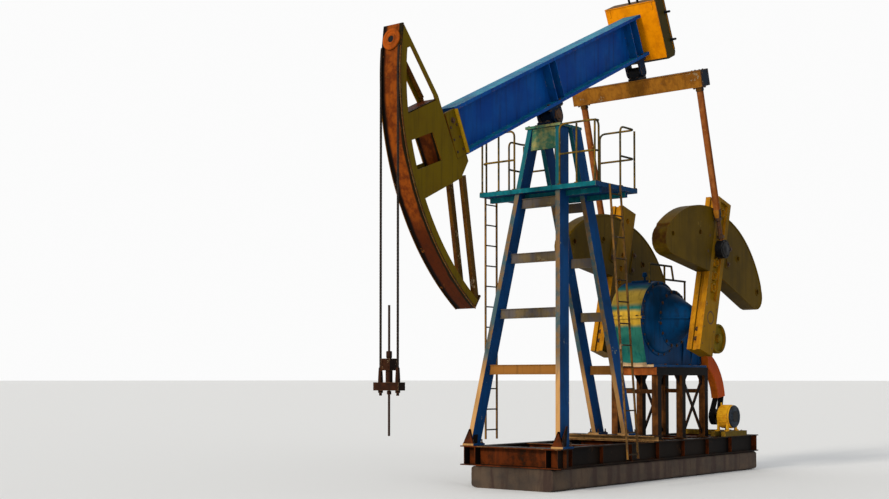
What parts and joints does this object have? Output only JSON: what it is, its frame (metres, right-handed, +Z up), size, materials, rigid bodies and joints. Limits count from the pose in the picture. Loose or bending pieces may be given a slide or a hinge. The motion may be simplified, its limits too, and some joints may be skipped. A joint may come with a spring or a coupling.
{
  "type": "pumpjack",
  "caption": "Beam pumping unit: a walking beam with a curved head rocks on a braced tower, driven by weighted cranks, pitmans and an equalizer; ropes lift a rod.",
  "frame": {"origin": "on the ground under the foundation, straight below the saddle pivot of the beam", "axes": "+X along the beam to its tail, +Y to the side away from the motor, +Z up"},
  "size_m": [9.48, 2.7111, 8.253],
  "materials": {
    "concrete": "weathered grey concrete",
    "skid_steel": "worn dark paint, rust brown",
    "tower_paint": "worn blue paint with rust",
    "brace_paint": "weathered pale paint",
    "tower_head_paint": "peeling teal paint",
    "bearing_paint": "worn blue paint",
    "deck_paint": "worn teal paint",
    "rail_paint": "dull green grey paint",
    "ladder_paint": "worn tan paint",
    "stand_paint": "oil-stained black",
    "gearbox_paint": "worn blue paint with oil stains",
    "guard_paint": "orange-red paint",
    "belt_rubber": "worn black rubber",
    "mount_paint": "worn yellow paint",
    "motor_paint": "yellow paint",
    "beam_paint": "worn royal blue paint",
    "tail_paint": "orange-yellow paint with rust",
    "head_rust": "rusted orange paint",
    "head_paint": "olive mustard paint with rust",
    "strut_paint": "brown rusted paint",
    "rope_wire": "dark greased wire rope",
    "equalizer_paint": "ochre paint with rust mottling",
    "bearing_dark": "oily dark iron",
    "pitman_paint": "rust orange paint",
    "shaft_steel": "dull steel",
    "crank_paint": "golden yellow paint",
    "weight_paint": "olive yellow paint",
    "carrier_steel": "dark brown worn steel",
    "rod_steel": "brown stained steel"
  },
  "bodies": {
    "frame_and_tower": {"concrete_base": "concrete", "skid_rails": "skid_steel", "skid_cross_beams": "skid_steel", "tower_front_legs": "tower_paint", "tower_rear_legs": "tower_paint", "front_braces": "brace_paint", "rear_braces": "brace_paint", "tower_head": "tower_head_paint", "saddle_bearing": "bearing_paint", "platform_deck": "deck_paint", "railing_near": "rail_paint", "railing_far": "rail_paint", "ladder_near": "ladder_paint", "ladder_far": "ladder_paint", "gearbox_stand": "stand_paint", "gearbox_case": "gearbox_paint", "gearbox_rails": "rail_paint", "brake_drum": "weight_paint", "belt_guard": "guard_paint", "drive_belt": "belt_rubber", "motor_mount": "mount_paint", "motor_body": "motor_paint"},
    "beam_and_head": {"walking_beam": "beam_paint", "saddle_clamp": "bearing_paint", "tail_bracket": "beam_paint", "tail_box": "tail_paint", "head_face": "head_rust", "head_cheek_near": "head_paint", "head_cheek_far": "head_paint", "head_box": "head_rust", "head_struts": "strut_paint", "head_link": "head_paint", "arc_ropes": "rope_wire"},
    "pitmans_and_equalizer": {"equalizer_beam": "equalizer_paint", "equalizer_bearing": "bearing_dark", "pitman_near": "pitman_paint", "pitman_far": "pitman_paint", "pin_bearings": "bearing_dark"},
    "cranks_and_weights": {"crank_shaft": "shaft_steel", "crank_near": "crank_paint", "crank_far": "crank_paint", "weights_near": "weight_paint", "weights_far": "weight_paint"},
    "carrier_and_rod": {"bridle_ropes": "rope_wire", "carrier_bar": "carrier_steel", "rod_clamp": "carrier_steel", "polished_rod": "rod_steel"}
  },
  "joints": [
    {"name": "crank_turn", "type": "hinge", "parent": "frame_and_tower", "child": "cranks_and_weights", "pos_m": [3.19, 0, 2.71], "axis": [0, 1, 0], "range_deg": [-8.25, 147.32]},
    {"name": "beam_rock", "type": "hinge", "parent": "frame_and_tower", "child": "beam_and_head", "pos_m": [0, 0, 5.8], "axis": [0, 1, 0], "range_deg": [-2.77, 49.24]},
    {"name": "pitman_swing", "type": "hinge", "parent": "beam_and_head", "child": "pitmans_and_equalizer", "pos_m": [2.61013, 0, 6.97075], "axis": [0, 1, 0], "range_deg": [-50.63, 2.86]},
    {"name": "carrier_slide", "type": "slide", "parent": "frame_and_tower", "child": "carrier_and_rod", "axis": [0, 0, 1], "range_m": [-0.184, 3.267]}
  ],
  "couplings": [
    {"joint": "beam_rock", "follows": "crank_turn", "ratio": 0.33412},
    {"joint": "pitman_swing", "follows": "crank_turn", "ratio": -0.34353},
    {"joint": "carrier_slide", "follows": "crank_turn", "m_per_rad": 1.2696}
  ]
}
